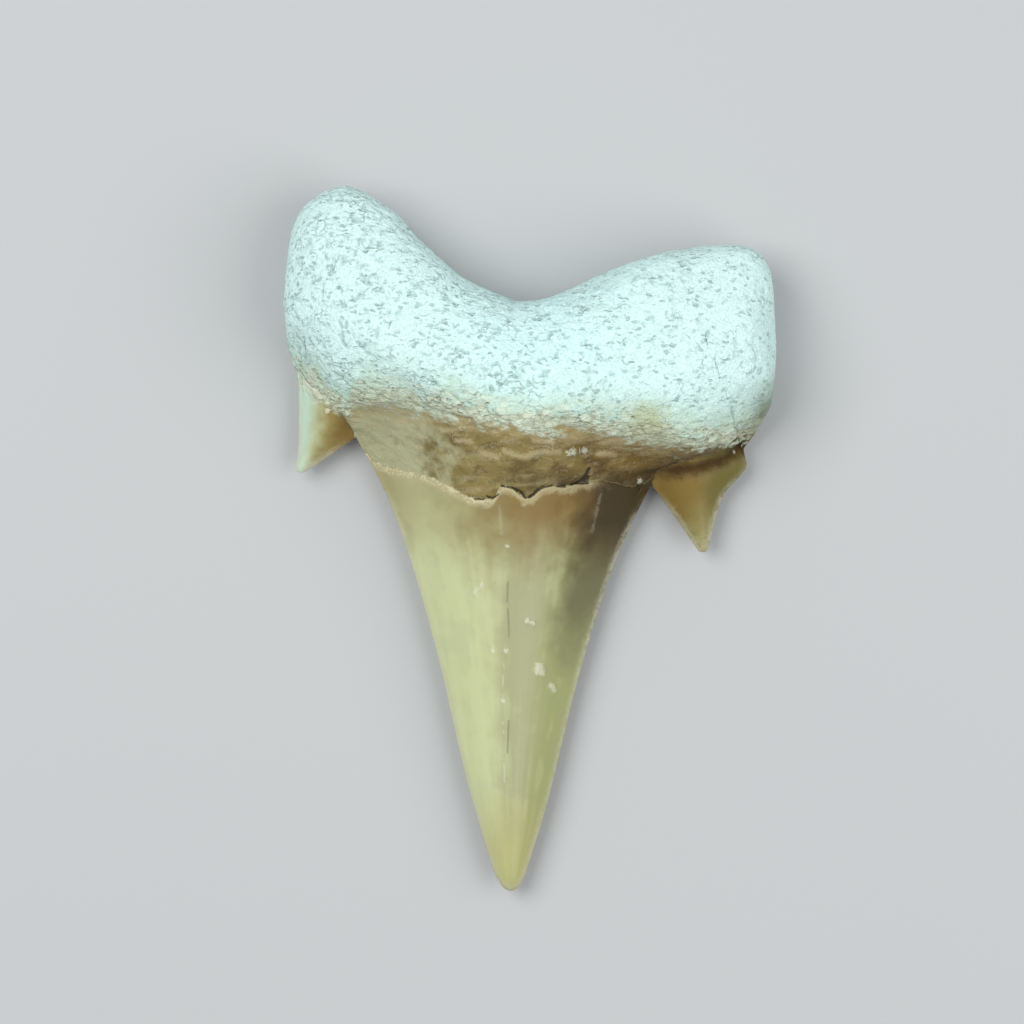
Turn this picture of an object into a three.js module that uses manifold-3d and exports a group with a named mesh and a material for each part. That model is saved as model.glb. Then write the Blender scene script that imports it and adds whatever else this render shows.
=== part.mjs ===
// Fossil shark tooth, lying on its flat labial face with the bulging lingual face up.
// Root and crown grew as one piece, so the tooth is one solid.
// Millimetres. +X runs towards the square root lobe, +Y from the crown's tip to the root, +Z up.
// The origin is the middle of the footprint, on the surface that the tooth rests on.
import * as THREE from "three";
import { mergeVertices } from "three/addons/utils/BufferGeometryUtils.js";
import Module from "manifold-3d";

const wasm = await Module();
wasm.setup();

// Driving dimensions
const rootCrest = 8.7; // height that the root's back aims for, right at the neck
const rootRim = 2.6; // height of the root's widest outline
const rootRound = 2.4; // length over which the root's lingual rim rounds off
const rootFootRound = 3.0; // length over which its labial rim rounds off
const rootFall = 0.19; // drop of the root's back for each millimetre away from the neck
const rootSideFall = 0.011; // drop of the root's back towards its two ends, per square millimetre
const rootLift = 3; // slope at which the root's labial face ends past the neck
const neckRound = 2.6; // length over which the root swells out of the neck
const neckFillet = 0.6; // length over which that swelling starts
const crownEdge = 1.3; // height of the cutting edges of crown and cusplets
const crownBulge = 1.24; // lingual rise of crown and cusplets for each millimetre of depth behind their edges
const edgeRise = 0.6; // length over which the labial face turns up to a cutting edge
const buriedRise = 1.6; // slope at which the crown's labial side rises into the root
const edgeBluntness = 0.07; // half thickness of a worn cutting edge
const enamelStep = 0.16; // thickness of the enamel where it ends at the neck
const enamelSlope = 0.35; // width of that step
const stepFade = 2; // length over which the step runs out towards the crown's two sides
const footHollow = { depth: 0.35, middle: 8.5, reachX: 4.5, reachY: 2.2 }; // shallow hollow in the labial face
const creaseRound = 0.45; // width over which two slopes of one side run into each other
const lumpHeight = 0.14; // unevenness of the worn root
// Its waves: radians for each millimetre along X and along Y, and the angle at the origin.
const lumpWaves = [[1.7, 0.7, 0], [0.9, -1.9, 1.7], [2.5, 1.4, 4], [-0.8, 2.9, 2.2]];
const floorWear = 0.05; // what the resting face has lost
const cutSize = 60; // side of the block that takes it away, larger than the tooth

// The outline in seven stretches, from the root's left end to its right end. The upper rim runs over
// the two root lobes. The lower rim runs over the left cusplet, the crown and the right cusplet.
// rings is how many sections a stretch gets, and ease where they crowd: at its start, its end or neither.
const stretches = [
  {
    upper: [[-12.25, 11.75], [-12.0, 14.45], [-11.4, 16.25], [-10.4, 17.25], [-9.2, 17.6]],
    lower: [[-12.25, 11.75], [-12.05, 9.7], [-11.65, 8.4], [-11.66, 6.2], [-11.78, 3.35]],
    rings: 14,
    ease: "start",
  },
  {
    upper: [[-9.2, 17.6], [-7.9, 17.15], [-6.8, 16.35]],
    lower: [[-11.78, 3.35], [-10.2, 4.1], [-8.7, 5.15]],
    rings: 7,
    ease: "none",
  },
  {
    upper: [[-6.8, 16.35], [-5.0, 14.45], [-3.0, 12.8], [-0.7, 11.87]],
    lower: [
      [-8.7, 5.15], [-7.2, 2.35], [-5.9, -1.2], [-4.5, -6.4], [-3.15, -12.2], [-1.75, -16.6], [-0.97, -17.6],
    ],
    rings: 15,
    ease: "end",
  },
  {
    upper: [[-0.7, 11.87], [1.0, 12.1], [3.2, 13.05], [5.5, 13.95]],
    lower: [[-0.97, -17.6], [-0.2, -16.6], [1.0, -12.9], [2.5, -7.0], [4.2, -1.3], [6.1, 2.8]],
    rings: 15,
    ease: "start",
  },
  {
    upper: [[5.5, 13.95], [6.7, 14.3], [7.9, 14.48]],
    lower: [[6.1, 2.8], [7.5, 0.95], [8.83, -0.6]],
    rings: 6,
    ease: "none",
  },
  {
    upper: [[7.9, 14.48], [8.7, 14.58], [9.4, 14.65]],
    lower: [[8.83, -0.6], [9.6, 2.1], [10.88, 3.9]],
    rings: 5,
    ease: "none",
  },
  {
    upper: [[9.4, 14.65], [10.4, 14.65], [11.4, 14.3], [12.0, 13.0], [12.25, 9.9]],
    lower: [[10.88, 3.9], [10.84, 4.6], [11.5, 5.7], [12.1, 7.2], [12.25, 9.9]],
    rings: 12,
    ease: "end",
  },
];
// Where the root ends against the left cusplet, the crown and the right cusplet, run on past both sides.
const neck = [
  [-12.7, 9.5], [-11.65, 8.4], [-10.3, 7.1], [-8.7, 6.3], [-5.5, 5.9], [-1.5, 4.85], [3.0, 4.25], [7.5, 3.9],
  [9.5, 4.2], [10.8, 4.65], [12.6, 5.5],
];
const cuspletEnds = { left: 8.4, right: 4.6 }; // Y on the outer rims where the root ends and a cusplet begins
// Upper edge of the enamel on the crown, from the left cutting edge to the right one.
const enamelLine = [
  [-8.7, 5.15], [-7.0, 3.65], [-5.0, 3.15], [-2.4, 2.05], [0.6, 2.6], [3.6, 2.95], [5.0, 2.7], [6.1, 2.8],
];

// Points along a section: over the root and over the crown, on the lingual side and on the labial side.
const lingualPoints = { root: 22, crown: 20 };
const labialPoints = { root: 10, crown: 10 };
const latestBreak = 0.93; // a section that is all root still changes from root points to crown points here
const outlineSteps = 40; // straight pieces that stand for one stretch of the rim
const onTheRim = 1e-9; // area under which a point counts as being on a piece of the rim
const sectionSteps = 160; // places where a section's height is worked out before it is spaced out evenly
const neckHalvings = 24; // times that the search for the neck along a section is halved
const crowding = 0.85; // how strongly sections crowd: 0 spaces them evenly

const spline = (points) => new THREE.SplineCurve(points.map(([x, y]) => new THREE.Vector2(x, y)));
const clamp01 = (v) => THREE.MathUtils.clamp(v, 0, 1);
const eased = {
  none: (u) => u,
  start: (u) => THREE.MathUtils.lerp(u, 1 - Math.cos((u * Math.PI) / 2), crowding),
  end: (u) => THREE.MathUtils.lerp(u, Math.sin((u * Math.PI) / 2), crowding),
};

const traced = (points) => spline(points).getSpacedPoints(outlineSteps);
const upperRims = stretches.map((s) => traced(s.upper));
const lowerRims = stretches.map((s) => traced(s.lower));
const neckPath = traced(neck);
const enamelPath = traced(enamelLine);
const leftEnd = lowerRims[0];
const rightEnd = lowerRims.at(-1);

// The rim that the root alone has, and the rim from end to end below it.
const rootOutline = [
  ...leftEnd.filter((p) => p.y > cuspletEnds.left).reverse(),
  ...upperRims.flat(),
  ...rightEnd.filter((p) => p.y > cuspletEnds.right).reverse(),
];
const crownOutline = lowerRims.flat();

// A point at a share of the length of an evenly spaced path.
function alongPath(path, share) {
  const at = share * (path.length - 1);
  const i = Math.min(Math.floor(at), path.length - 2);
  return path[i].clone().lerp(path[i + 1], at - i);
}

// Depth of a point behind a rim: pi over the sum, for the rim's straight pieces, of the angle that a piece
// fills over the distance to its line. It is 0 on the rim, the plain distance from a straight rim,
// and has no creases between two rims.
function depthBehind(rim, x, y) {
  let sum = 0;
  for (let i = 1; i < rim.length; i++) {
    const [ax, ay] = [rim[i - 1].x - x, rim[i - 1].y - y];
    const [bx, by] = [rim[i].x - x, rim[i].y - y];
    const area = Math.max(Math.abs(ax * by - ay * bx), onTheRim);
    sum += (Math.hypot(bx - ax, by - ay) * Math.atan2(area, ax * bx + ay * by)) / area;
  }
  return Math.PI / sum;
}

// Y of a path at x. The path runs from left to right, and stays level past its ends.
function pathY(path, x) {
  const found = path.findIndex((p) => p.x > x);
  const i = Math.max(found < 0 ? path.length - 1 : found, 1);
  const at = clamp01((x - path[i - 1].x) / (path[i].x - path[i - 1].x));
  return path[i - 1].y + at * (path[i].y - path[i - 1].y);
}

// A rim that starts upright as a circle does, and flattens smoothly.
const roundOff = (a) => Math.sqrt(1 - Math.exp(-2 * a));

// The smaller of two heights, with their crossing rounded over a width.
function softMin(a, b, width) {
  const share = Math.max(width - Math.abs(a - b), 0) / width;
  return Math.min(a, b) - (share * share * width) / 4;
}

// Slow waves for the worn root, unlike each other in direction and length.
function lumps(x, y) {
  const waves = lumpWaves.map(([perX, perY, start]) => Math.sin(perX * x + perY * y + start));
  return (lumpHeight * waves.reduce((sum, wave) => sum + wave)) / waves.length;
}

// Height of the bulging side: the crown is a lens, and the root swells out of it above the neck.
function lingualHeight(x, y) {
  const above = Math.max(y - pathY(neckPath, x), 0);
  const bare = clamp01(1 - (pathY(enamelPath, x) - y) / enamelSlope);
  const towardsMiddle = Math.min(x - enamelPath[0].x, enamelPath.at(-1).x - x);
  const step = enamelStep * bare * clamp01(towardsMiddle / stepFade);
  const lens = crownEdge + crownBulge * depthBehind(crownOutline, x, y) - step;
  const back = rootCrest - rootFall * above - rootSideFall * x * x + lumps(x, y);
  const swell = 1 - Math.exp(-(above ** 2) / (above + neckFillet) / neckRound);
  const pillow = rootRim + (back - rootRim) * roundOff(depthBehind(rootOutline, x, y) / rootRound);
  const top = softMin(pillow, THREE.MathUtils.lerp(lens, back, swell), creaseRound);
  return Math.max(top + edgeBluntness, labialHeight(x, y) + 2 * edgeBluntness);
}

// Height of the flat side, which turns up to the rim: round at the root, like a bevel at the crown.
function labialHeight(x, y) {
  const above = y - pathY(neckPath, x);
  const { depth, middle, reachX, reachY } = footHollow;
  const hollow = depth * Math.exp(-((x / reachX) ** 2) - ((y - middle) / reachY) ** 2);
  const rootRise = 1 - roundOff(depthBehind(rootOutline, x, y) / rootFootRound);
  const root = (rootRim - edgeBluntness) * rootRise + hollow + rootLift * Math.max(-above, 0);
  const crownRise = Math.exp(-depthBehind(crownOutline, x, y) / edgeRise);
  const crown = (crownEdge - edgeBluntness) * crownRise + buriedRise * Math.max(above, 0);
  return softMin(root, crown, creaseRound);
}

// Share of the way from upper to lower rim at which a section leaves the root.
function neckShare(top, bottom) {
  const onRoot = (share) => {
    const { x, y } = top.clone().lerp(bottom, share);
    return y > pathY(neckPath, x);
  };
  if (onRoot(latestBreak)) return latestBreak;
  let [low, high] = [0, latestBreak];
  for (let halving = 0; halving < neckHalvings; halving++) {
    const middle = (low + high) / 2;
    if (onRoot(middle)) low = middle;
    else high = middle;
  }
  return low;
}

// One section of the tooth: down the lingual side from upper rim to lower rim, and back along the labial side.
function section(top, bottom) {
  const neckAt = neckShare(top, bottom);
  const spans = { root: [0, neckAt], crown: [neckAt, 1] };
  const trace = (part, height) =>
    Array.from({ length: sectionSteps + 1 }, (_, i) => {
      const share = (1 - Math.cos((i / sectionSteps) * Math.PI)) / 2;
      const { x, y } = top.clone().lerp(bottom, THREE.MathUtils.lerp(...spans[part], share));
      return new THREE.Vector3(x, y, height(x, y));
    });
  const side = (height, counts) => [
    ...evenly(trace("root", height), counts.root).slice(0, -1),
    ...evenly(trace("crown", height), counts.crown),
  ];
  return [...side(lingualHeight, lingualPoints), ...side(labialHeight, labialPoints).reverse()];
}

// The same line with its points spaced evenly along it.
function evenly(points, count) {
  const runs = [0];
  points.slice(1).forEach((p, i) => runs.push(runs[i] + p.distanceTo(points[i])));
  let i = 0;
  return Array.from({ length: count }, (_, k) => {
    const run = (runs.at(-1) * k) / (count - 1);
    while (i < points.length - 2 && runs[i + 1] < run) i++;
    return points[i].clone().lerp(points[i + 1], clamp01((run - runs[i]) / (runs[i + 1] - runs[i])));
  });
}

// The skin of the tooth: its sections joined side by side, and closed with a point at each end.
function skin() {
  const lastStretch = stretches.length - 1;
  const rings = stretches.flatMap(({ rings: count, ease }, i) =>
    Array.from({ length: count }, (_, k) => {
      const u = (k + 1) / (i === lastStretch ? count + 1 : count);
      const atRootEnd = i === 0 || i === lastStretch;
      const upper = alongPath(upperRims[i], atRootEnd ? eased[ease](u) : u);
      return section(upper, alongPath(lowerRims[i], eased[ease](u)));
    }),
  );
  const size = rings[0].length;
  const ends = [leftEnd[0], rightEnd.at(-1)].map((p) => new THREE.Vector3(p.x, p.y, rootRim));
  const points = [...rings.flat(), ...ends];
  const index = [];
  for (let k = 0; k < size; k++) {
    const next = (k + 1) % size;
    index.push(points.length - 2, next, k);
    for (let r = 0; r < rings.length - 1; r++) {
      const [a, b, c, d] = [r * size + k, r * size + next, (r + 1) * size + k, (r + 1) * size + next];
      index.push(a, d, c, a, b, d);
    }
    const last = (rings.length - 1) * size;
    index.push(last + k, last + next, points.length - 1);
  }
  return new THREE.BufferGeometry().setFromPoints(points).setIndex(index);
}

// A geometry as a solid that can be cut.
function solidOf(geometry) {
  const bare = geometry.clone();
  bare.deleteAttribute("normal");
  bare.deleteAttribute("uv");
  const merged = mergeVertices(bare);
  return new wasm.Manifold(
    new wasm.Mesh({
      numProp: 3,
      vertProperties: merged.attributes.position.array,
      triVerts: new Uint32Array(merged.index.array),
    }),
  );
}

// The tooth, worn flat where its labial face rests.
function toothGeometry() {
  const wornAway = new THREE.BoxGeometry(cutSize, cutSize, cutSize).translate(0, 0, floorWear - cutSize / 2);
  const mesh = solidOf(skin()).subtract(solidOf(wornAway)).getMesh();
  return new THREE.BufferGeometry()
    .setAttribute("position", new THREE.BufferAttribute(mesh.vertProperties, 3))
    .setIndex(new THREE.BufferAttribute(mesh.triVerts, 1))
    .translate(0, 0, -floorWear);
}

const fossil = new THREE.MeshStandardMaterial({ color: 0xd9dccb, roughness: 0.75, metalness: 0 });
const tooth = new THREE.Mesh(toothGeometry(), fossil);
tooth.name = "tooth";

const group = new THREE.Group();
group.add(tooth);
export default group;
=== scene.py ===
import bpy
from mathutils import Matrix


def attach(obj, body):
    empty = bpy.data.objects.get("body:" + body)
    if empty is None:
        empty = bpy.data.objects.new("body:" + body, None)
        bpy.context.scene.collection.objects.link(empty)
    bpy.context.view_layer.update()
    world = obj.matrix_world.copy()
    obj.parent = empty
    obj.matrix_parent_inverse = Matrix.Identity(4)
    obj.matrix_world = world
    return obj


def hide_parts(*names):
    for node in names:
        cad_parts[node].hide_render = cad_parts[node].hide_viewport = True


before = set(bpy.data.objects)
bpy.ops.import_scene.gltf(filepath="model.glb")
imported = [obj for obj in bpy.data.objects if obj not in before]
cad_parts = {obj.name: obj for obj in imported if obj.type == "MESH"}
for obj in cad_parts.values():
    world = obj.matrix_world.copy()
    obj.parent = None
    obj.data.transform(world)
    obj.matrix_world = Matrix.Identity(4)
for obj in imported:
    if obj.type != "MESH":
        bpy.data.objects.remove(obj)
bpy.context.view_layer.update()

import functools
import math

import bpy
import numpy as np

mm = 0.001  # the scene is in metres, and every size below is in millimetres

# The tooth lies on its flat labial face. X runs to the square root lobe, Y from the crown's tip to the root.
toothOutline = {
    # matched upper and lower rims, from the root's left end to its right end, and columns of points for each
    "stretches": [
        {"upper": [(-12.25, 11.75), (-12.0, 14.45), (-11.4, 16.25), (-10.4, 17.25), (-9.2, 17.6),
                   (-8.4, 17.4)],
         "lower": [(-12.25, 11.75), (-12.05, 9.7), (-11.83, 8.9), (-11.65, 8.4)],
         "columns": 38, "crowd": "start"},
        {"upper": [(-8.4, 17.4), (-7.9, 17.15), (-6.8, 16.35), (-6.0, 15.5)],
         "lower": [(-11.65, 8.4), (-11.58, 7.6), (-11.55, 6.2), (-11.6, 4.4), (-11.74, 3.7), (-11.68, 3.46),
                   (-11.5, 3.36)],
         "columns": 28, "crowd": "end"},
        {"upper": [(-6.0, 15.5), (-5.0, 14.45), (-4.4, 13.87)],
         "lower": [(-11.5, 3.36), (-11.2, 3.45), (-10.2, 4.1), (-8.7, 5.15)],
         "columns": 22, "crowd": "start"},
        {"upper": [(-4.4, 13.87), (-3.0, 12.8), (-0.7, 11.87)],
         "lower": [(-8.7, 5.15), (-7.2, 2.35), (-5.9, -1.2), (-4.5, -6.2), (-3.15, -12.0), (-1.9, -16.25),
                   (-1.55, -17.05), (-1.28, -17.45), (-0.95, -17.6)],
         "columns": 72, "crowd": "end"},
        {"upper": [(-0.7, 11.87), (1.0, 12.1), (3.2, 13.05), (4.8, 13.7)],
         "lower": [(-0.95, -17.6), (-0.6, -17.45), (-0.35, -17.05), (-0.08, -16.35), (1.0, -12.8),
                   (2.45, -6.9), (4.2, -1.3), (6.1, 2.8)],
         "columns": 68, "crowd": "start"},
        {"upper": [(4.8, 13.7), (5.5, 13.95), (6.0, 14.1)],
         "lower": [(6.1, 2.8), (7.2, 1.3), (8.36, -0.4), (8.54, -0.58), (8.74, -0.62)],
         "columns": 24, "crowd": "end"},
        {"upper": [(6.0, 14.1), (6.5, 14.24), (6.9, 14.33)],
         "lower": [(8.74, -0.62), (8.92, -0.52), (9.0, -0.25), (9.36, 1.2), (9.75, 2.3), (10.53, 3.16),
                   (10.78, 3.48), (10.86, 3.66), (10.88, 3.85)],
         "columns": 22, "crowd": "start"},
        {"upper": [(6.9, 14.33), (7.15, 14.37), (7.4, 14.41)],
         "lower": [(10.88, 3.85), (10.84, 4.1), (10.76, 4.4), (10.76, 4.6)],
         "columns": 3, "crowd": "end"},
        {"upper": [(7.4, 14.41), (8.4, 14.54), (9.4, 14.65), (10.4, 14.65), (11.4, 14.3), (12.0, 13.0),
                   (12.25, 9.9)],
         "lower": [(10.76, 4.6), (11.5, 5.7), (12.1, 7.2), (12.25, 9.9)],
         "columns": 47, "crowd": "end"},
    ],
    "neck": [(-12.7, 9.5), (-11.65, 8.4), (-10.3, 7.1), (-8.7, 6.3), (-5.5, 5.9), (-1.5, 4.85), (3.0, 4.25),
             (7.5, 3.9), (9.5, 4.2), (10.8, 4.65), (12.6, 5.5)],
    "cuspletEnds": (8.4, 4.6),  # heights on the left and right rims where the root ends and a cusplet begins
    "enamelEdge": [(-12.0, 8.9), (-10.2, 7.2), (-9.2, 5.9), (-8.5, 4.7), (-7.8, 4.05), (-7.0, 3.65),
                   (-5.0, 3.15), (-3.9, 2.6), (-3.0, 2.15), (-2.4, 2.05), (-1.8, 2.1), (-1.45, 2.65),
                   (-0.9, 2.6), (-0.4, 2.2),
                   (0.1, 2.15), (0.6, 2.6), (1.2, 2.74), (1.7, 2.65), (2.2, 2.8), (3.6, 2.95), (5.0, 2.7),
                   (5.9, 2.95), (6.6, 3.5), (8.0, 4.0), (10.8, 4.8), (12.6, 5.6)],
    "latestBreak": 0.93,  # a column that is all root changes from root points to crown points here
    "crowding": 0.85,
    # points traced along each rim, and the length that a radian of turn adds
    "rimSteps": 52, "turnLength": 3.0,
}
sectionPoints = {
    # points down the root and the crown on each side of a column, and on the fine trace that spaces them out
    "lingualRoot": 150, "lingualCrown": 116, "labialRoot": 20, "labialCrown": 22, "trace": 150,
    # how densely the crown's points lie: everywhere, more from below the enamel's edge upwards, and more
    # beside it
    "crown": 0.75, "aboveEdge": 0.5, "aboveFrom": (1.0, -0.5), "besideEdge": 2.2, "besideReach": 0.35,
}


def evenPath(points, count, turnLength=0.0):
    # uniform Catmull-Rom curve through the points, with its ends doubled, then spaced out evenly by length,
    # where each radian that it turns counts as so much more length
    p = np.array(points, float)
    p = np.vstack([p[:1], p, p[-1:]])
    u = np.linspace(0, len(p) - 3, 60 * len(p))
    i = np.minimum(u.astype(int), len(p) - 4)
    t = (u - i)[:, None]
    a, b, c, d = p[i], p[i + 1], p[i + 2], p[i + 3]
    curve = b + 0.5 * t * (c - a + t * (2 * a - 5 * b + 4 * c - d + t * (3 * (b - c) + d - a)))
    step = np.diff(curve, axis=0)
    heading = np.unwrap(np.arctan2(step[:, 1], step[:, 0]))
    turn = np.abs(np.append(0, np.diff(heading)))
    run = np.append(0, np.cumsum(np.linalg.norm(step, axis=1) + turnLength * turn))
    at = np.linspace(0, run[-1], count)
    return np.stack([np.interp(at, run, curve[:, k]) for k in (0, 1)], axis=1)


def alongPath(path, shares):
    # points on the straight pieces of an evenly spaced path, at shares of its length
    at = np.linspace(0, 1, len(path))
    return np.stack([np.interp(shares, at, path[:, k]) for k in (0, 1)], axis=1)


def smoothStep(low, high, value):
    # 0 up to low, 1 from high on, and a smooth S between them
    t = np.clip((value - low) / (high - low), 0, 1)
    return t * t * (3 - 2 * t)


def softMin(a, b, width):
    # the smaller of two heights, with their crossing rounded over a width
    share = np.maximum(width - np.abs(a - b), 0) / width
    return np.minimum(a, b) - share * share * width / 4


def cornerNumber(ix, iy, iz, seed):
    # a repeatable number from 0 to 1 for each corner of a lattice, by multiplying and mixing whole numbers
    n = (ix * 374761393 + iy * 668265263 + iz * 1440662683 + seed * 974711) & 0xFFFFFFFF
    n = ((n ^ (n >> 13)) * 1274126177) & 0xFFFFFFFF
    return ((n ^ (n >> 16)) & 0xFFFFFF) / 0xFFFFFF


def smoothNoise(points, size, seed):
    # random corner values on a lattice of that size, blended by a quintic: 0 to 1
    p = points / np.asarray(size)
    cell = np.floor(p).astype(np.int64)
    f = p - cell
    f = f * f * f * (f * (f * 6 - 15) + 10)
    total = 0
    for corner in np.ndindex(2, 2, 2):
        weight = np.prod(np.where(corner, f, 1 - f), axis=-1)
        total = total + weight * cornerNumber(*(cell[..., k] + corner[k] for k in range(3)), seed)
    return total


def layeredNoise(points, size, layers, seed):
    # smooth noise added to itself at half the size and half the strength, layer by layer: about 0 to 1
    strengths = 0.5 ** np.arange(layers)
    sizes = [np.asarray(size) * s for s in strengths]
    total = sum(s * smoothNoise(points, z, seed + k) for k, (s, z) in enumerate(zip(strengths, sizes)))
    return total / strengths.sum()


def nearestSeed(points, size, stretch, reaches, seed):
    # distance to the nearest of one random seed per lattice cube, shortened along each seed's own
    # direction, and counted in its own reach between the two given
    p = points / size
    cell = np.floor(p).astype(np.int64)
    nearest = np.full(p.shape[:-1], np.inf)
    for step in np.ndindex(3, 3, 3):
        c = cell + np.array(step) - 1
        place = [cornerNumber(c[..., 0], c[..., 1], c[..., 2], seed + k) for k in range(5)]
        d = p - c - np.stack(place[:3], axis=-1)
        turn = math.pi * place[3]
        along = d[..., 0] * np.cos(turn) + d[..., 1] * np.sin(turn)
        aside = d[..., 1] * np.cos(turn) - d[..., 0] * np.sin(turn)
        reach = reaches[0] + (reaches[1] - reaches[0]) * place[4]
        nearest = np.minimum(nearest, np.sqrt((along / stretch) ** 2 + aside ** 2 + d[..., 2] ** 2) / reach)
    return nearest


# Rims, neck and enamel edge as traced lines
rimSteps, turnLength = toothOutline["rimSteps"], toothOutline["turnLength"]
upperRims = [evenPath(stretch["upper"], rimSteps, turnLength) for stretch in toothOutline["stretches"]]
lowerRims = [evenPath(stretch["lower"], rimSteps, turnLength) for stretch in toothOutline["stretches"]]
neckPath = evenPath(toothOutline["neck"], rimSteps)
enamelPath = evenPath(toothOutline["enamelEdge"], 4 * rimSteps)
crownLeft = lowerRims[3][::-1]  # both cutting edges climb from the crown's tip to its notches
crownRight = lowerRims[4]
aboveLeftNeck = lowerRims[0][:, 1] > toothOutline["cuspletEnds"][0]
aboveRightNeck = lowerRims[-1][:, 1] > toothOutline["cuspletEnds"][1]
outerRim = np.vstack([lowerRims[0][aboveLeftNeck][::-1], *upperRims, lowerRims[-1][aboveRightNeck][::-1]])
crownRim = np.vstack(lowerRims)


def lineY(path, x):
    # y of a path that runs from left to right, at x on its straight pieces
    return np.interp(x, path[:, 0], path[:, 1])


def edgeX(path, y):
    # x of a climbing path at a height y, run on straight past both ends
    low, high = path[1] - path[0], path[-1] - path[-2]
    x = np.interp(y, path[:, 1], path[:, 0])
    x = np.where(y < path[0, 1], path[0, 0] + (y - path[0, 1]) * low[0] / low[1], x)
    return np.where(y > path[-1, 1], path[-1, 0] + (y - path[-1, 1]) * high[0] / high[1], x)


def distanceTo(path, x, y):
    # shortest distance from each point to the straight pieces of a short path
    path = np.array(path, float)
    nearest = np.full(np.shape(x), np.inf)
    for start, end in zip(path[:-1], path[1:]):
        run = end - start
        along = np.clip(((x - start[0]) * run[0] + (y - start[1]) * run[1]) / (run @ run), 0, 1)
        nearest = np.minimum(nearest, np.hypot(x - start[0] - along * run[0], y - start[1] - along * run[1]))
    return nearest


def smoothDepth(path, x, y):
    # pi over the sum, for the straight pieces of a rim, of the angle a piece fills over the distance to its
    # line. It is 0 on the rim, the plain distance from a straight rim, and has no creases between two rims
    points = np.stack([x.ravel(), y.ravel()], axis=1).astype(np.float32)
    run = np.diff(path, axis=0)
    length = np.hypot(*run.T)
    keep = length > 1e-6
    starts, ends, length = (v[keep].astype(np.float32) for v in (path[:-1], path[1:], length))
    found = []
    for some in np.array_split(points, max(len(points) // 6000, 1)):
        a, b = starts - some[:, None], ends - some[:, None]
        cross = np.maximum(np.abs(a[..., 0] * b[..., 1] - a[..., 1] * b[..., 0]), 1e-7)
        dot = (a * b).sum(-1)
        found.append(math.pi / (length * np.arctan2(cross, dot) / cross).sum(1))
    return np.concatenate(found).reshape(x.shape).astype(float)


toothForm = {
    "rootCrest": 8.7, "rootRim": 2.6, "rootRound": 2.4, "rootFootRound": 3.0, "rootFall": 0.19,
    "rootSideFall": 0.011, "neckRound": 2.6, "neckFillet": 0.6,
    "crownEdge": 1.3, "crownBulge": 1.24, "edgeRise": 0.6, "buriedRise": 1.6, "rootLift": 3,
    "bluntness": 0.07, "enamelStep": 0.16, "stepEdge": (0.12, -0.05), "stepFade": 2.0, "crease": 0.45,
    "hollow": {"depth": 0.35, "middle": 8.5, "reachX": 4.5, "reachY": 2.2}, "floorWear": 0.05,
}


def roundOff(a):
    # a rim that starts upright as a circle does, and flattens smoothly: root of 1 - exp(-2a)
    return np.sqrt(1 - np.exp(-2 * a))


def swelling(x, y, lens):
    # from the crown's lens up to the root's sloping back, over a rounded step above the neck
    form = toothForm
    above = np.maximum(y - lineY(neckPath, x), 0)
    back = form["rootCrest"] - form["rootFall"] * above - form["rootSideFall"] * x * x
    swell = 1 - np.exp(-above * above / (above + form["neckFillet"]) / form["neckRound"])
    return lens + (back - lens) * swell, back


def lingualHeight(x, y):
    # the crown is a lens, its height growing with the depth behind its edges. The root swells out of it
    # above the neck, and a pillow rounds it off at its own rim
    form = toothForm
    bare = smoothStep(*form["stepEdge"], lineY(enamelPath, x) - y)
    towardsMiddle = np.minimum(x - crownLeft[-1, 0], crownRight[-1, 0] - x)
    step = form["enamelStep"] * bare * np.clip(towardsMiddle / form["stepFade"], 0, 1)
    swollen, back = swelling(
        x, y, form["crownEdge"] + form["crownBulge"] * smoothDepth(crownRim, x, y) - step)
    pillow = form["rootRim"] + (back - form["rootRim"]) * roundOff(
        smoothDepth(outerRim, x, y) / form["rootRound"])
    return softMin(pillow, swollen, form["crease"]) + form["bluntness"]


def labialHeight(x, y):
    # a flat face that turns up to the rim, round at the root and like a bevel at the crown, and never past
    # the rim
    form = toothForm
    above = y - lineY(neckPath, x)
    dip = form["hollow"]
    hollow = dip["depth"] * np.exp(-((x / dip["reachX"]) ** 2) - ((y - dip["middle"]) / dip["reachY"]) ** 2)
    root = (form["rootRim"] - form["bluntness"]) * (
        1 - roundOff(smoothDepth(outerRim, x, y) / form["rootFootRound"]))
    root = root + hollow + form["rootLift"] * np.maximum(-above, 0)
    crown = (form["crownEdge"] - form["bluntness"]) * np.exp(-smoothDepth(crownRim, x, y) / form["edgeRise"])
    turned = softMin(root, crown + form["buriedRise"] * np.maximum(above, 0), form["crease"])
    return np.minimum(turned, swelling(x, y, form["crownEdge"])[0] - form["bluntness"])


def onCrown(x, y):
    # signed place across the crown, -1 on its left cutting edge and 1 on its right one
    left, right = edgeX(crownLeft, y), edgeX(crownRight, y)
    return (2 * x - left - right) / np.maximum(right - left, 2 * toothForm["bluntness"])


def columnShares(stretch):
    # places along a stretch, from just after its start to its end: spaced evenly, and crowded to one end by
    # a sine
    count = stretch["columns"]
    u = np.arange(1, count + 1) / count
    eased = {"start": 1 - np.cos(u * math.pi / 2), "end": np.sin(u * math.pi / 2)}[stretch["crowd"]]
    return u, u + toothOutline["crowding"] * (eased - u)


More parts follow.
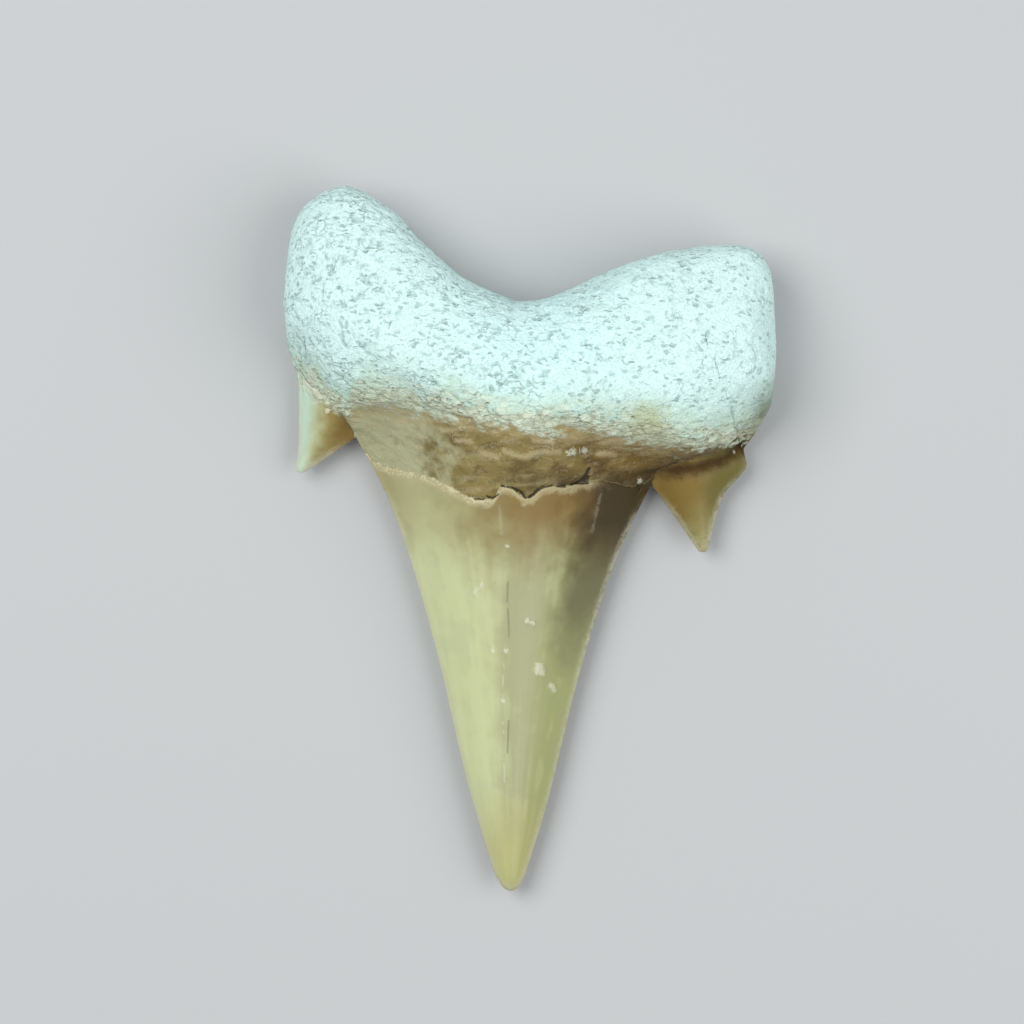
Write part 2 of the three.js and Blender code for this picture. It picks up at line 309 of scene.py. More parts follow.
def columnEnds():
    # upper and lower rim point of every column, left to right. The lower points crowd at both poles and at
    # the three tips, the upper ones at the poles alone
    tops, bottoms = [], []
    last = len(toothOutline["stretches"]) - 1
    for i, stretch in enumerate(toothOutline["stretches"]):
        u, crowded = columnShares(stretch)
        keep = slice(0, -1) if i == last else slice(None)
        tops.append(alongPath(upperRims[i], crowded[keep] if i in (0, last) else u[keep]))
        bottoms.append(alongPath(lowerRims[i], crowded[keep]))
    return np.vstack(tops), np.vstack(bottoms)


def neckShares(tops, bottoms):
    # share of each column at which it leaves the root, found by halving
    low, high = np.zeros(len(tops)), np.full(len(tops), toothOutline["latestBreak"])
    for _ in range(24):
        middle = (low + high) / 2
        p = tops + (bottoms - tops) * middle[:, None]
        onRoot = p[:, 1] > lineY(neckPath, p[:, 0])
        low, high = np.where(onRoot, middle, low), np.where(onRoot, high, middle)
    return low


def spacedShares(tops, bottoms, start, end, height, weight, count):
    # shares of each column between start and end, spaced evenly along its height line with a weight on its
    # length
    raw = (1 - np.cos(np.linspace(0, math.pi, sectionPoints["trace"]))) / 2
    share = start[:, None] + (end - start)[:, None] * raw
    p = tops[:, None] + (bottoms - tops)[:, None] * share[..., None]
    z = height(p[..., 0], p[..., 1])
    steps = np.hypot(np.linalg.norm(np.diff(p, axis=1), axis=2), np.diff(z, axis=1))
    middle = (p[:, 1:] + p[:, :-1]) / 2
    run = np.cumsum(steps * weight(middle[..., 0], middle[..., 1]), axis=1)
    run = np.hstack([np.zeros((len(run), 1)), run]) / run[:, -1:]
    lane = 2.0 * np.arange(len(run))[:, None]  # keeps the columns apart in one long interpolation
    wanted = (lane + np.linspace(0, 1, count)).ravel()
    return np.interp(wanted, (lane + run).ravel(), share.ravel()).reshape(-1, count)


def evenWeight(x, y):
    # every length counts the same
    return np.ones_like(x)


def crownWeight(x, y):
    # more points close to the enamel's edge, fewer down the smooth crown
    spacing = sectionPoints
    below = lineY(enamelPath, x) - y
    above = spacing["aboveEdge"] * smoothStep(*spacing["aboveFrom"], below)
    return spacing["crown"] + above + spacing["besideEdge"] * np.exp(-((below / spacing["besideReach"]) ** 2))


def loopShares(tops, bottoms):
    # shares down the lingual side of every column and back up its labial side
    neckAt = neckShares(tops, bottoms)
    none, whole = np.zeros_like(neckAt), np.ones_like(neckAt)
    sides = []
    for side, height in (("lingual", lingualHeight), ("labial", labialHeight)):
        onRoot = spacedShares(tops, bottoms, none, neckAt, height, evenWeight, sectionPoints[side + "Root"])
        weight = crownWeight if side == "lingual" else evenWeight
        onCrownPart = spacedShares(
            tops, bottoms, neckAt, whole, height, weight, sectionPoints[side + "Crown"])
        sides.append(np.hstack([onRoot[:, :-1], onCrownPart]))
    return sides[0], sides[1][:, ::-1]


print("tracing the tooth's columns")
tops, bottoms = columnEnds()
lingualShare, labialShare = loopShares(tops, bottoms)
shares = np.hstack([lingualShare, labialShare])
plan = tops[:, None] + (bottoms - tops)[:, None] * shares[..., None]
lingualCount = lingualShare.shape[1]
gridX, gridY = plan[..., 0], plan[..., 1]
lowZ = labialHeight(gridX, gridY)
highZ = np.maximum(lingualHeight(gridX, gridY), lowZ + 2 * toothForm["bluntness"])
gridZ = np.hstack([highZ[:, :lingualCount], lowZ[:, lingualCount:]])
base = np.stack([gridX, gridY, gridZ], axis=-1)
isLingual = np.zeros(gridX.shape)
isLingual[:, :lingualCount] = 1
print("columns", base.shape[0], "points in a column's loop", base.shape[1])


def gridNormals(grid, passes):
    # cross product of the differences along the columns and along the loop, which closes on itself, then a
    # few times averaged with the four neighbours, so that crowded points don't cross when the relief moves
    # them
    alongColumns = np.gradient(grid, axis=0)
    alongLoop = np.roll(grid, -1, axis=1) - np.roll(grid, 1, axis=1)
    normal = np.cross(alongLoop, alongColumns)
    normal /= np.maximum(np.linalg.norm(normal, axis=-1, keepdims=True), 1e-9)
    for _ in range(passes):
        wide = np.concatenate([normal[:1], normal, normal[-1:]])
        beside = wide[:-2] + wide[2:] + np.roll(normal, 1, axis=1) + np.roll(normal, -1, axis=1)
        normal = (beside + 2 * normal) / 6
    return normal / np.maximum(np.linalg.norm(normal, axis=-1, keepdims=True), 1e-9)


# Zones that the relief and the colours share, as smooth fields in millimetres
toothZones = {
    "rootMargin": [(-12.7, 8.6), (-11.6, 7.85), (-10.4, 7.1), (-9.2, 6.15), (-8.8, 6.6), (-8.2, 6.85),
                   (-6.5, 6.72), (-4.5, 6.28), (-2.5, 5.98), (-0.5, 5.6), (1.5, 5.5), (3.5, 5.45),
                   (5.5, 5.1), (7.5, 4.75),
                   (9.5, 4.75), (10.8, 5.15), (11.5, 5.6), (12.6, 6.4)],
    "leftNotch": (-8.7, 5.15), "leftLean": -0.55, "rightNotch": (6.1, 2.8), "rightLean": 0.3,
    "ridgeFoot": (-11.2, 3.5), "ridgeLean": 0.12,
    "crevice": [(4.6, 3.15), (6.2, 3.3), (8.4, 3.5), (9.8, 4.0), (10.7, 4.7)],
    "creviceFade": 0.2, "fadesLeftOf": 7.2,  # the crevice closes slowly to the left of here
    "deepest": 3.0, "widest": 1.2,  # limits of the depths behind the rims and of the place across the crown
    # how far the root's margin is frayed, the size of that, and over which distances root and enamel set in
    "ragged": 1.4, "raggedSize": (0.8, 0.4, 0.5), "rootBlend": (-0.2, 0.2), "enamelBlend": (-0.03, 0.08),
}
farOff = 9.0  # where a mark or the crevice is too far away to show
zones = toothZones
marginPath = evenPath(zones["rootMargin"], 4 * rimSteps)
notchX, notchY = zones["leftNotch"]
leftSeam = notchX + zones["leftLean"] * np.maximum(gridY - notchY, 0) - gridX
notchX, notchY = zones["rightNotch"]
rightSeam = gridX - notchX - zones["rightLean"] * np.maximum(gridY - notchY, 0)
footX, footY = zones["ridgeFoot"]
creviceDistance = distanceTo(zones["crevice"], gridX, gridY)
creviceDistance += zones["creviceFade"] * np.maximum(zones["fadesLeftOf"] - gridX, 0)
rootDepth = np.minimum(smoothDepth(outerRim, gridX, gridY), zones["deepest"])
fields = {
    "aboveNeck": gridY - lineY(neckPath, gridX),
    "aboveMargin": gridY - lineY(marginPath, gridX),
    "belowEdge": lineY(enamelPath, gridX) - gridY,
    "across": np.clip(onCrown(gridX, gridY), -zones["widest"], zones["widest"]),
    "crownDepth": np.minimum(smoothDepth(crownRim, gridX, gridY), zones["deepest"]),
    "leftSeam": leftSeam,
    "rightSeam": rightSeam,
    "ridge": gridX - footX - zones["ridgeLean"] * (gridY - footY),
    "crevice": np.where(isLingual > 0, creviceDistance, farOff),
}
ragged = zones["ragged"] * (layeredNoise(base, zones["raggedSize"], 3, 11) - 0.5)
rootShare = smoothStep(*zones["rootBlend"], fields["aboveMargin"] + ragged)
enamelShare = smoothStep(*zones["enamelBlend"], fields["belowEdge"]) * (1 - rootShare)
neckShare = np.clip(1 - rootShare - enamelShare, 0, 1) * isLingual

# lumps and grain of the weathered root, drawn-out pits in it, and crumbs along its margin
rootRelief = {"pitSize": 0.42, "pitStretch": 2.4, "pitReach": (0.55, 1.45), "pitEdge": (0.28, 0.08),
              "pitDepth": 0.1, "lump": 0.4, "lumpSize": 2.6, "grain": 0.12, "grainSize": 0.45,
              "marginStep": 0.1, "marginLump": 0.3,
              "marginSize": (0.6, 0.4, 0.5), "marginReach": 0.6}
print("pitting the root")
pitDistance = nearestSeed(base, rootRelief["pitSize"], rootRelief["pitStretch"], rootRelief["pitReach"], 5)
fields["pit"] = smoothStep(*rootRelief["pitEdge"], pitDistance)
marginShare = np.exp(-((fields["aboveMargin"] / rootRelief["marginReach"]) ** 2)) * isLingual
relief = rootShare * (
    rootRelief["marginStep"]
    + rootRelief["lump"] * (layeredNoise(base, rootRelief["lumpSize"], 2, 41) - 0.5)
    + rootRelief["grain"] * (layeredNoise(base, rootRelief["grainSize"], 2, 43) - 0.5)
    - rootRelief["pitDepth"] * fields["pit"]
)
relief += marginShare * rootRelief["marginLump"] * (layeredNoise(base, rootRelief["marginSize"], 2, 31) - 0.5)

# flat ledges and grit of the bare neck
neckRelief = {"ledge": 0.14, "ledgeSize": (1.8, 0.45, 0.6), "grain": 0.05, "grainSize": 0.3}
relief += neckShare * neckRelief["ledge"] * (layeredNoise(base, neckRelief["ledgeSize"], 3, 53) - 0.5)
relief += neckShare * neckRelief["grain"] * (layeredNoise(base, neckRelief["grainSize"], 2, 59) - 0.5)

# lengthwise lines on the enamel, a drop beside the left cusplet's seam and a crevice over the right cusplet
crownRelief = {"line": 0.035, "lineShare": (0.1, 8.0, 1.0), "drop": 0.3, "dropEdge": 0.12, "dropReach": 0.9,
               "crevice": 0.2, "creviceWidth": 0.35}
drawn = np.stack([fields["across"], gridY, np.zeros_like(gridY)], axis=-1)
relief += enamelShare * crownRelief["line"] * (layeredNoise(drawn, crownRelief["lineShare"], 2, 73) - 0.5)
besideSeam = smoothStep(-crownRelief["dropEdge"], crownRelief["dropEdge"], leftSeam)
besideSeam *= np.exp(-np.maximum(leftSeam, 0) / crownRelief["dropReach"])
relief -= crownRelief["drop"] * besideSeam * isLingual
relief -= crownRelief["crevice"] * np.exp(-((fields["crevice"] / crownRelief["creviceWidth"]) ** 2))

# Cracks and chips along the enamel's edge, lines down the crown, nicks in its edge and grains stuck to the
# tooth
crownMarks = {
    "crack": {"width": 0.04, "height": -0.12, "paths": [
        [(-2.75, 2.06), (-2.3, 2.04)],
        [(-2.12, 2.17), (-1.85, 2.09), (-1.58, 2.26)],
        [(-1.41, 2.7), (-0.87, 2.61), (-0.42, 2.38), (-0.2, 2.1)],
        [(-0.02, 2.15), (0.2, 2.28)],
        [(0.25, 2.36), (0.61, 2.61), (1.14, 2.73)],
        [(1.37, 2.68), (1.77, 2.67)], [(2.05, 2.76), (2.4, 2.87)],
    ]},
    "chip": {"width": 0.08, "height": -0.15, "paths": [
        [(2.45, 2.87), (2.9, 2.84)], [(2.62, 3.0), (2.9, 2.97)], [(2.74, 3.12), (2.9, 3.1)],
        [(2.84, 3.24), (2.97, 3.5)], [(5.45, 2.72), (5.49, 2.5)],
    ]},
    "hair": {"width": 0.055, "height": -0.03, "paths": [
        [(-1.08, -2.1), (-1.12, -3.1)], [(-1.08, -3.4), (-1.02, -4.8)], [(-1.05, -9.0), (-1.1, -10.6)],
    ]},
    "pale": {"width": 0.05, "height": 0.02, "paths": [
        [(-1.3, -6.0), (-1.36, -8.0)], [(-1.33, -9.05), (-1.3, -9.65)], [(-1.3, -10.7), (-1.24, -12.2)],
    ]},
    "scuff": {"width": 0.08, "height": 0.02, "paths": [
        [(-3.1, 0.2), (-2.75, -2.6)], [(-1.5, 1.7), (-1.4, 0.3)], [(3.55, 2.4), (3.1, 0.4)],
    ]},
    "streak": {"width": 0.13, "height": 0.05, "paths": [
        [(-1.25, 4.42), (-0.7, 4.2), (-0.25, 4.1), (0.5, 4.34), (1.45, 4.38)], [(-3.6, 4.92), (-2.9, 4.86)],
        [(3.4, 4.32), (4.2, 4.26)], [(3.3, 5.2), (3.7, 5.4), (4.3, 5.32)], [(3.6, 4.85), (4.5, 4.95)],
        [(-2.3, 4.3), (-1.6, 4.1)], [(0.2, 4.9), (1.1, 4.8)], [(-4.3, 5.4), (-3.4, 5.5)],
    ]},
    "grain": {"height": 0.06, "dots": [
        (-2.43, -2.25, 0.13), (-2.73, -2.6, 0.1), (-1.13, -0.3, 0.1), (-0.13, -4.0, 0.13), (0.2, -4.15, 0.09),
        (0.47, -6.3, 0.2), (0.4, -6.55, 0.16), (0.62, -6.6, 0.14), (1.1, -7.25, 0.13), (1.22, -7.5, 0.12),
        (-2.98, -5.75, 0.08), (-1.83, -5.5, 0.11), (-1.18, -5.5, 0.12), (-1.33, -8.0, 0.1),
        (-4.1, -5.85, 0.08),
        (1.92, 4.3, 0.13), (2.14, 4.37, 0.16), (2.72, 4.43, 0.15), (5.5, 2.95, 0.13), (-10.45, 7.0, 0.13),
        (-10.2, 6.75, 0.09), (-10.15, 6.4, 0.14), (-10.7, 7.5, 0.2), (-11.0, 7.9, 0.24), (-10.9, 8.3, 0.18),
        (-5.0, -2.6, 0.07), (3.0, -5.0, 0.08),
    ]},
    "nick": {"height": -0.12, "dots": [
        (1.62, -10.25, 0.14), (1.32, -11.25, 0.12), (2.35, -7.5, 0.1), (3.2, -4.3, 0.1), (4.3, -0.9, 0.09),
    ]},
}


def offsetFrom(pieces):
    # for the nearest of some straight pieces, each from a to b with a width: how far off to the right, how
    # far up, and how far in all, counted in its widths. The labial side is far from all of them
    nearest = np.full(gridX.shape + (3,), farOff)
    for a, b, width in pieces:
        run = np.subtract(b, a)
        along = np.clip(((gridX - a[0]) * run[0] + (gridY - a[1]) * run[1]) / max(run @ run, 1e-9), 0, 1)
        right, up = gridX - a[0] - along * run[0], gridY - a[1] - along * run[1]
        here = np.stack([right, up, np.hypot(right, up)], axis=-1) / width
        nearest = np.where(here[..., 2:] < nearest[..., 2:], here, nearest)
    nearest[:, lingualCount:] = farOff
    return nearest


print("marking the crown")
offsets = {}
for name, mark in crownMarks.items():
    pieces = [((x, y), (x, y), radius) for x, y, radius in mark.get("dots", [])]
    pieces += [(a, b, mark["width"]) for path in mark.get("paths", []) for a, b in zip(path[:-1], path[1:])]
    offsets[name] = offsetFrom(pieces)
    relief += mark["height"] * np.exp(-offsets[name][..., 2] ** 2)

# relief dies away towards the crown's edges, half of it stays on the root's rim, and it is weaker on the
# labial face
reliefFade = {"crownEdge": -0.15, "rootRim": -0.35, "whole": 0.5, "labial": 0.4, "smoothings": 4}
edgeDepth = np.minimum(fields["crownDepth"], rootDepth)
fadesFrom = reliefFade["crownEdge"] + reliefFade["rootRim"] * rootShare
relief *= smoothStep(fadesFrom, reliefFade["whole"], edgeDepth) * np.where(
    isLingual > 0, 1, reliefFade["labial"])
points = base + gridNormals(base, reliefFade["smoothings"]) * relief[..., None]
points[..., 2] = np.maximum(points[..., 2], toothForm["floorWear"]) - toothForm["floorWear"]


def toothMesh(grid, ends):
    # quads between neighbouring columns round their loops, and a fan of triangles to a pole at each end
    columns, loop = grid.shape[:2]
    vertices = np.vstack([grid.reshape(-1, 3), ends]) * mm
    c, k = np.meshgrid(np.arange(columns - 1), np.arange(loop), indexing="ij")
    nextK = (k + 1) % loop
    quads = np.stack([c * loop + k, c * loop + nextK, (c + 1) * loop + nextK, (c + 1) * loop + k],
                     -1).reshape(-1, 4)
    k = np.arange(loop)
    lastColumn = (columns - 1) * loop
    leftFan = np.stack([np.full(loop, columns * loop), (k + 1) % loop, k], -1)
    rightFan = np.stack([lastColumn + k, lastColumn + (k + 1) % loop, np.full(loop, columns * loop + 1)], -1)
    corners = np.concatenate([quads.ravel(), leftFan.ravel(), rightFan.ravel()]).astype(np.int32)
    sizes = np.concatenate([np.full(len(quads), 4), np.full(2 * loop, 3)]).astype(np.int32)
    mesh = bpy.data.meshes.new("tooth_surface")
    mesh.vertices.add(len(vertices))
    mesh.vertices.foreach_set("co", vertices.astype(np.float32).ravel())
    mesh.loops.add(len(corners))
    mesh.loops.foreach_set("vertex_index", corners)
    mesh.polygons.add(len(sizes))
    mesh.polygons.foreach_set("loop_start", np.concatenate([[0], np.cumsum(sizes)[:-1]]).astype(np.int32))
    mesh.polygons.foreach_set("use_smooth", np.ones(len(sizes), bool))
    mesh.update(calc_edges=True)
    mesh.validate()
    return mesh


def storeField(mesh, name, values):
    # a number or a vector per point of the grid, and the mean of the end columns at the two poles
    width = values[0, 0].size
    flat = np.vstack([values.reshape(-1, width), values[0].reshape(-1, width).mean(0),
                      values[-1].reshape(-1, width).mean(0)]).astype(np.float32)
    kind, slot = ("FLOAT", "value") if width == 1 else ("FLOAT_VECTOR", "vector")
    mesh.attributes.new(name, kind, "POINT").data.foreach_set(slot, flat.ravel())


surface = toothMesh(points, points[[0, -1]].mean(axis=1))
tooth = bpy.data.objects.new("fossil_tooth", surface)
bpy.context.scene.collection.objects.link(tooth)
print("tooth triangles", 2 * points.shape[0] * points.shape[1])


def linear(hexColour):
    # sRGB hex to linear light
    values = [int(hexColour[i:i + 2], 16) / 255 for i in (1, 3, 5)]
    return tuple(v / 12.92 if v <= 0.04045 else ((v + 0.055) / 1.055) ** 2.4 for v in values) + (1.0,)


def addNode(tree, kind, inputs, out=0, **settings):
    # one node with its settings. An input that is a socket is linked, any other is a value. Gives one output
    node = tree.nodes.new("ShaderNode" + kind)
    for name, value in settings.items():
        setattr(node, name, value)
    for name, value in inputs.items():
        if isinstance(value, bpy.types.NodeSocket):
            tree.links.new(value, node.inputs[name])
        else:
            node.inputs[name].default_value = value
    return node if out is None else node.outputs[out]


# Fossil shark tooth, all of it apatite. The root is porous dentine, weathered chalky, so it is matt and icy
# white with grey-green dashes in its pores. The neck is bare dentine stained by iron, so it is brown, rough
# and full of grit. The crown is enameloid, dense and polished by wear, so it is satin, olive-cream and lined
# lengthwise
toothLook = {
    "colours": {
        "rootWhite": "#D8F5F1", "rootCyan": "#D7F7F6", "rootPore": "#8AA6A1", "marginGreen": "#AFC69E",
        "marginCream": "#E4E7CD", "marginTan": "#B7B18D", "marginDirtAndShade": "#847A55",
        "cornerDirtAndShade": "#66725F", "stain": "#B2AE65",
        "neckTan": "#857644", "neckOlive": "#ACAC88", "neckBrown": "#725A26", "neckDark": "#3B2D10",
        "neckPale": "#C9BC96", "neckCream": "#B4A478", "lipPale": "#D3CDA8",
        "crownLeft": "#C9D09E", "crownMiddle": "#A6A87E", "crownRight": "#A2A66D",
        "crownOliveAndShade": "#6D6B49", "crownGrey": "#A0A287", "crownPale": "#CDD1A6",
        "crownTan": "#7E5D22", "crownPaintedShade": "#382C09", "crownLip": "#B8AD85",
        "crownTip": "#B4B173", "crownRim": "#C2BDA6",
        "cuspPale": "#BDD5C0", "cuspRidge": "#AEB188", "cuspTanAndShade": "#8E7C40", "cuspBrownAndShade": "#7C612D",
        "cuspOrange": "#836C33", "cuspOlive": "#6B6429", "cuspCream": "#979360",
        "crevicePaintedShadow": "#3B2401", "crackDark": "#2B2416", "hairGrey": "#7C7B66", "linePale": "#D2D5B8",
        "grainPale": "#DEDFC8",
    },
    # noise patterns: size in millimetres along X, Y and Z, and how many finer layers they have
    "patterns": {
        "patch": ((3.0, 3.0, 3.0), 3.0), "mottle": ((1.1, 1.1, 1.1), 3.0), "grit": ((0.45, 0.45, 0.45), 4.0),
        "flat": ((1.1, 0.34, 0.6), 4.0), "band": ((2.2, 0.3, 0.8), 3.0), "speck": ((0.13, 0.13, 0.13), 2.0),
    },
    # cells of a warped lattice, in millimetres: dashes are drawn-out pores, beads are the grains between them
    "cells": {"dash": (0.5, 0.22, 0.4), "bead": (0.48, 0.34, 0.4)}, "warpSize": 0.5, "warpReach": 0.5,
    # the crown's lines: their width as a share of half the crown, their length, and how many finer layers
    # they have
    "lineShare": 0.2, "lineLength": 9.0, "lineLayers": 3.0,
    # shares from 0 to 1: a field plus some patterns times their weights, where it turns 0 and where it
    # turns 1
    "shares": {
        "root": ("aboveMargin", {"flat": 1.4, "grit": 0.9, "beadChance": 0.5, "speck": 0.4, "bead": -0.3},
                 1.1, 2.0),
        "enamel": ("belowEdge", {"grit": 0.4, "speck": 0.15}, 0.22, 0.33),
        "cyanLeft": ("x", {"patch": 8}, -4, 4), "cyanRight": ("x", {"patch": 8}, 12, 5),
        "dirtAndShade": ("aboveMargin", {"mottle": 2.4, "flat": 1.2}, 4.8, 1.4),
        "margin": ("aboveMargin", {"flat": 1.2, "beadChance": 0.9, "grit": 0.8}, 2.9, 1.2),
        "marginLow": ("aboveMargin", {"flat": 0.8, "beadChance": 0.9}, 1.5, 0.5),
        "gap": ("bead", {"speck": 0.3}, 0.55, 0.85),
        "stainLeft": ("x", {"grit": 2}, 5.2, 6.8), "stainRight": ("x", {"grit": 2}, 8.6, 7.0),
        "stainLow": ("aboveMargin", {"grit": 1.5, "speck": 0.6}, 3.3, 2.0),
        "dash": ("dash", {"speck": 0.25}, 0.56, 0.26),
        "dashHere": ("dashChance", {"mottle": 0.8, "x": -0.006}, 0.72, 1.0),
        "dashLow": ("dashChance", {"flat": 0.8}, 0.55, 0.85),
        "arc": ("edge", {"speck": 0.1}, 0.19, 0.06),
        "arcHere": ("grit", {"mottle": 0.8, "x": -0.004}, 0.9, 1.1),
        "pore": ("pit", {"speck": 0.4, "x": -0.01}, 0.45, 1.2),
        "chalk": ("speck", {}, 0.58, 0.36),
        "olive": ("x", {"mottle": 7, "grit": 4}, 2.6, -0.8),
        "brown": ("x", {"mottle": 7, "grit": 4}, 5.0, 11.0),
        "neckPatch": ("flat", {"mottle": 0.8}, 0.84, 1.1), "neckGrain": ("speck", {"flat": 1.6}, 1.4, 1.64),
        "neckBand": ("band", {"mottle": 0.7, "grit": 0.3, "speck": 0.15}, 1.1, 0.8),
        "bandHere": ("x", {"mottle": 6, "grit": 3}, -2.0, 2.5),
        "underMargin": ("aboveMargin", {"flat": 2.0, "speck": 0.6}, 0.2, 1.0),
        "neckLow": ("aboveNeck", {"flat": 1.0}, -0.1, -1.3),
        "lowMiddle": ("x", {"mottle": 3, "grit": 2}, 0.0, 4.0),
        "middle": ("across", {"lines": 0.25, "mottle": 0.2}, -0.3, 0.25),
        "right": ("across", {"lines": 0.2, "mottle": 0.3}, 0.4, 0.9),
        "cornerRight": ("x", {"mottle": 1.5, "grit": 0.8}, 11.3, 13.0),
        "foot": ("z", {"mottle": 1.6, "grit": 0.8}, 3.2, 1.0),
        "cornerLow": ("aboveMargin", {"mottle": 1.2}, 3.6, 1.0),
        "nearEdge": ("belowEdge", {"grit": 0.6, "mottle": 0.5}, -0.7, 0.6),
        "edgeRight": ("x", {"mottle": 1.5}, 3.4, 5.0),
        "leftEdge": ("across", {"mottle": 0.2}, -0.6, -0.85),
        "greyLine": ("lines", {"mottle": 0.6, "patch": 0.6}, 1.08, 1.3),
        "paleLine": ("lines", {"mottle": 0.6, "patch": 0.6}, 1.12, 0.92),
        "tanDown": ("belowEdge", {"lines": -0.7, "mottle": -1.4}, 4.0, -0.2),
        "tanAcross": ("across", {"mottle": 0.4}, -1.6, 0.8),
        "oliveDown": ("belowEdge", {"lines": -0.7, "mottle": -2.0}, 9.5, 4.0),
        "oliveAcross": ("across", {"lines": 0.2, "mottle": 0.3}, 0.58, 1.02),
        "shadeDown": ("belowEdge", {"lines": -0.7, "mottle": -1.5}, 4.4, 0.6),
        "shadeAcross": ("across", {"lines": 0.2, "mottle": 0.3}, 0.55, 1.0),
        "lip": ("belowEdge", {"grit": 0.6, "speck": 0.3}, 0.95, 0.65),
        "lipGrain": ("speck", {"grit": 0.8}, 0.82, 1.0), "lipLeft": ("x", {"mottle": 4}, 2.5, -1.0),
        "lipHere": ("x", {"mottle": 2, "grit": 1}, 6.0, 3.6),
        "tip": ("y", {"mottle": 3, "lines": 3}, -8.5, -13.0),
        "rim": ("crownDepth", {"grit": 0.4, "speck": 0.2}, 0.6, 0.36),
        "rimHere": ("belowEdge", {"mottle": 2}, 1.4, 4.0),
        "leftCusp": ("leftSeam", {"grit": 0.3}, 0.1, 0.25),
        "rightCusp": ("rightSeam", {"grit": 0.3}, 0.1, 0.25),
        "ridge": ("ridge", {"grit": 0.3, "mottle": 0.4}, -0.1, 0.7),
        "inner": ("ridge", {"grit": 0.5, "mottle": 0.7}, 0.7, 1.6),
        "innerDark": ("ridge", {"grit": 0.6, "mottle": 0.8}, 1.5, 2.7),
        "shoulder": ("x", {"grit": 1.0, "mottle": 1.0}, 8.6, 10.8),
        "cuspTip": ("y", {"mottle": 1.6}, 3.0, 0.2),
        "crevice": ("crevice", {"grit": 0.4, "speck": 0.2}, 0.95, 0.3),
        "broken": ("grit", {}, 0.4, 0.55), "cuspPatch": ("grit", {"mottle": 0.8}, 0.86, 1.06),
    },
    # marks, in their own widths: how far their edges are frayed, how soft these are, and how far off they
    # are cut
    "marks": {"crack": (1.6, 0.25, 7.0), "chip": (1.2, 0.3, 4.0), "hair": (1.2, 0.35, 6.0),
              "pale": (1.8, 0.5, 6.0), "scuff": (1.8, 0.75, 4.0), "streak": (2.2, 0.75, 3.0),
              "grain": (1.7, 0.5, 2.2)},
    # fraying in millimetres, and the share of the cut-off where a mark thins out
    "fraySize": 0.12, "cutFade": 0.8,
    # coats from the lowest to the topmost: colour, strength and the shares that bound it
    "coats": [
        ("neckOlive", 1.0, ["olive"]), ("neckBrown", 1.0, ["brown"]),
        ("neckDark", 0.8, ["neckLow", "lowMiddle"]),
        ("neckDark", 0.15, ["neckPatch"]), ("neckDark", 0.4, ["neckPatch", "bandHere"]),
        ("neckCream", 0.35, ["neckBand", "bandHere"]),
        ("neckCream", 0.6, ["underMargin"]), ("neckPale", 0.2, ["neckGrain"]), ("neckPale", 0.4, ["streak"]),
        # painted shade: the neck just above the enamel's edge at the right is darkened where the root's
        # overhang shades it
        ("neckDark", 0.75, ["nearEdge", "edgeRight"]),
        # the crown darkens from its left cutting edge to its right one: partly the enamel's own tone, partly
        # painted shade of the right slope, which turns away from the light
        ("crownLeft", 1.0, ["enamel"]), ("crownMiddle", 1.0, ["enamel", "middle"]),
        ("crownRight", 1.0, ["enamel", "right"]), ("crownGrey", 0.18, ["enamel", "greyLine"]),
        ("crownPale", 0.2, ["enamel", "paleLine"]), ("crownTip", 0.75, ["enamel", "tip"]),
        # partly olive enamel, partly painted shade down the crown's upper right
        ("crownOliveAndShade", 0.95, ["enamel", "oliveDown", "oliveAcross"]),
        ("crownTan", 0.9, ["enamel", "tanDown", "tanAcross"]),
        ("crownTan", 0.35, ["enamel", "tanDown", "leftEdge"]),
        # painted shade: the crown's upper right is darkened where the root's overhang shadows it and the
        # slope turns away from the light
        ("crownPaintedShade", 0.95, ["enamel", "shadeDown", "shadeAcross"]),
        ("crownLip", 0.7, ["enamel", "lip", "lipHere"]),
        ("lipPale", 0.75, ["enamel", "lip", "lipLeft", "lipGrain"]),
        ("cuspPale", 1.0, ["enamel", "leftCusp"]), ("cuspRidge", 1.0, ["enamel", "leftCusp", "ridge"]),
        # partly the left cusplet's own tan, partly painted shade: its inner face, turned away from the light
        # and shaded by the root, is browner
        ("cuspTanAndShade", 0.9, ["enamel", "leftCusp", "inner"]),
        ("cuspBrownAndShade", 0.9, ["enamel", "leftCusp", "innerDark"]),
        ("cuspOrange", 1.0, ["enamel", "rightCusp"]), ("cuspOlive", 1.0, ["enamel", "rightCusp", "shoulder"]),
        ("cuspCream", 0.9, ["enamel", "rightCusp", "cuspTip"]),
        ("cuspBrownAndShade", 0.2, ["enamel", "leftCusp", "inner", "cuspPatch"]),
        ("cuspBrownAndShade", 0.2, ["enamel", "rightCusp", "cuspPatch"]),
        ("crownRim", 0.3, ["enamel", "rim", "rimHere"]),
        ("crownRim", 0.5, ["enamel", "rim", "rimHere", "broken"]),
        # painted shadow: the crevice between the root and the right cusplet is darkened where the root's
        # overhang shades it
        ("crevicePaintedShadow", 0.9, ["crevice"]),
        ("rootWhite", 1.0, ["root"]), ("rootCyan", 1.0, ["root", "cyanLeft", "cyanRight"]),
        ("rootPore", 0.2, ["root", "chalk"]), ("rootPore", 0.45, ["root", "pore"]),
        ("rootPore", 0.5, ["root", "dash", "dashHere"]), ("rootPore", 0.4, ["root", "arc", "arcHere"]),
        # partly green-grey dirt, partly painted shade: the root darkens towards its margin, where its slope
        # turns down away from the light
        ("marginGreen", 0.62, ["root", "dirtAndShade"]),
        ("stain", 0.6, ["root", "stainLow", "stainLeft", "stainRight"]),
        ("marginGreen", 0.45, ["root", "foot"]),
